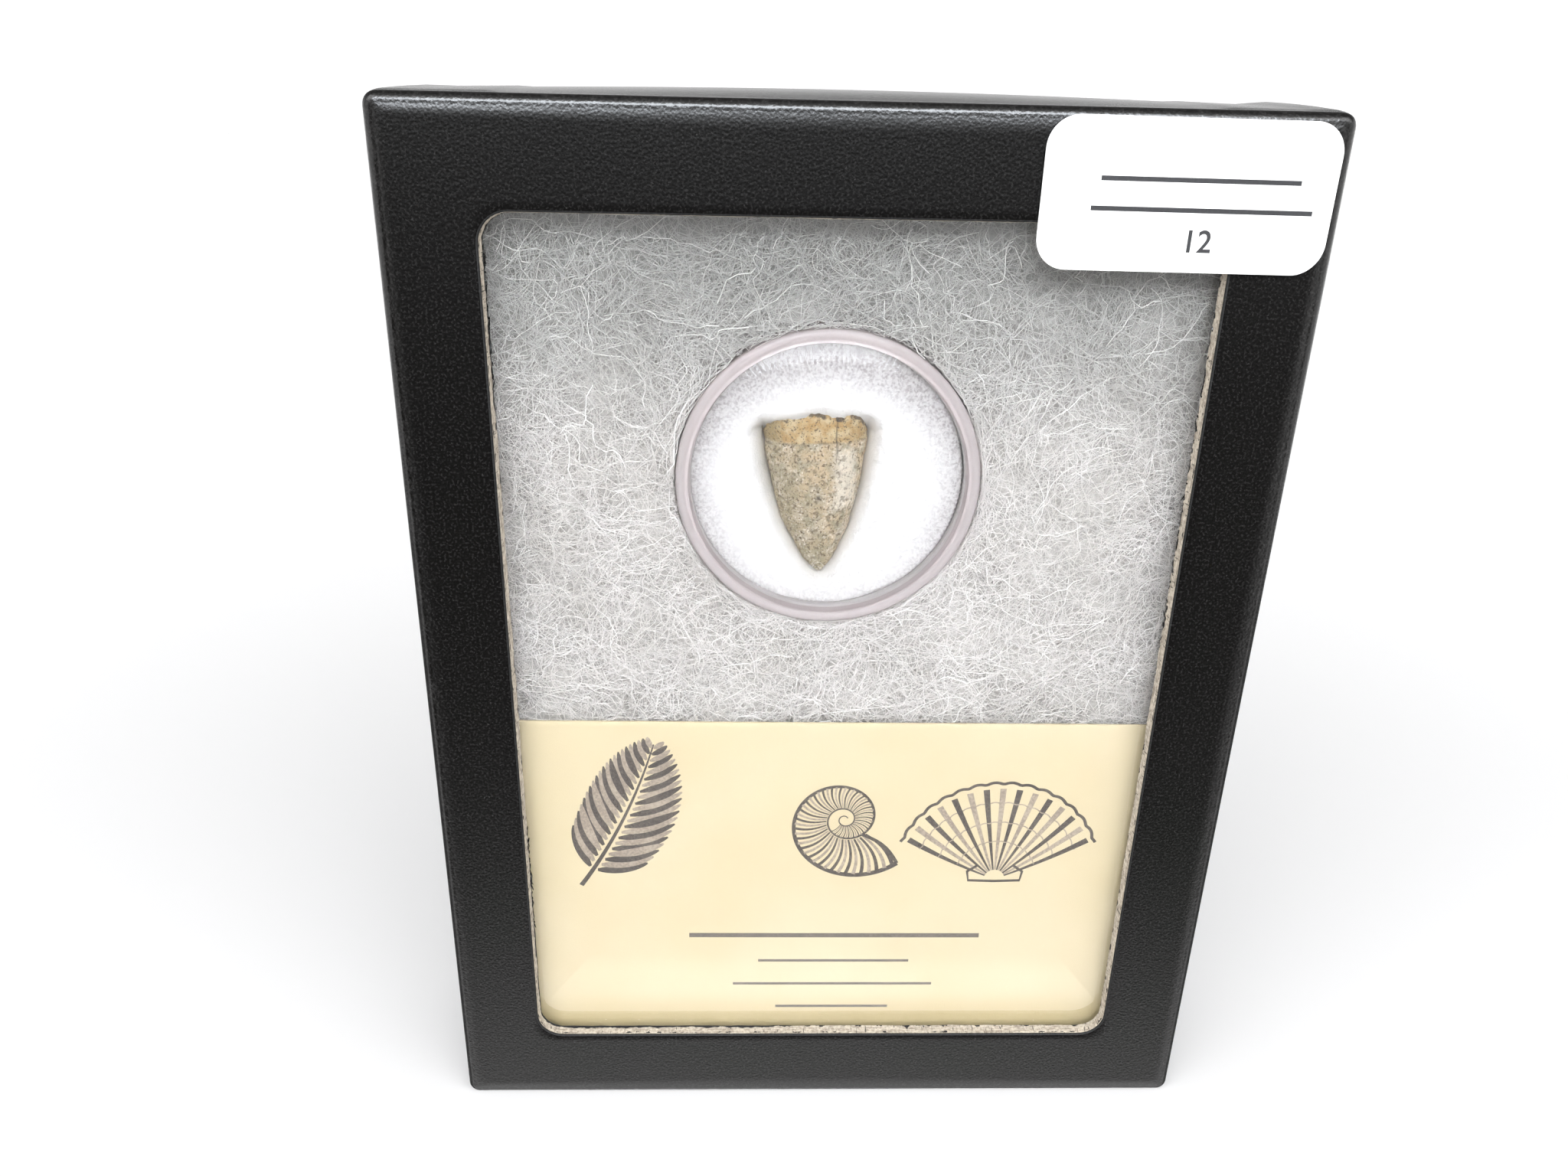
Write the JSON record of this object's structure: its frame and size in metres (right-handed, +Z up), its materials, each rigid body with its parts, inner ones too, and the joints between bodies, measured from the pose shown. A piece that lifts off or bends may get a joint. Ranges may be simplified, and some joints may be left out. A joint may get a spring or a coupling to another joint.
{
  "type": "fossil crocodile tooth in a glass-fronted specimen box",
  "caption": "Fossil crocodile tooth, tip down in foam inside a round clear jar, fixed on wadding with a label card in a glass-fronted black specimen box.",
  "frame": {"origin": "middle of the box's footprint, on the surface it stands on", "axes": "+Z up along the box's height, the glass window faces -Y, +X to the right of someone who looks in at the window"},
  "size_m": [0.083, 0.0196, 0.1093],
  "materials": {
    "black_wrap": "black pebbled leatherette paper over board, semi-gloss, bare grey board at the window's cut edge",
    "tray_wrap": "black pebbled paper over board, semi-matte",
    "window_glass": "clear polished sheet glass",
    "fibre_wadding": "white curled polyester fibre, loose and soft",
    "clear_jar": "clear glossy moulded plastic with a faint lilac tint",
    "white_foam": "matte white soft foam with a fuzzy surface",
    "fossil_tooth": "worn grey-beige fossil enamel with pale speckles and a tan root band, matte",
    "cream_card": "cream printed card, matte",
    "white_sticker": "bright white label paper, smooth"
  },
  "bodies": {
    "root": {"lid": "black_wrap", "tray": "tray_wrap", "window_glass": "window_glass", "wadding": "fibre_wadding", "jar_lid": "clear_jar", "jar_cup": "clear_jar", "foam_disc": "white_foam", "tooth": "fossil_tooth", "label_card": "cream_card", "corner_sticker": "white_sticker"}
  },
  "joints": []
}
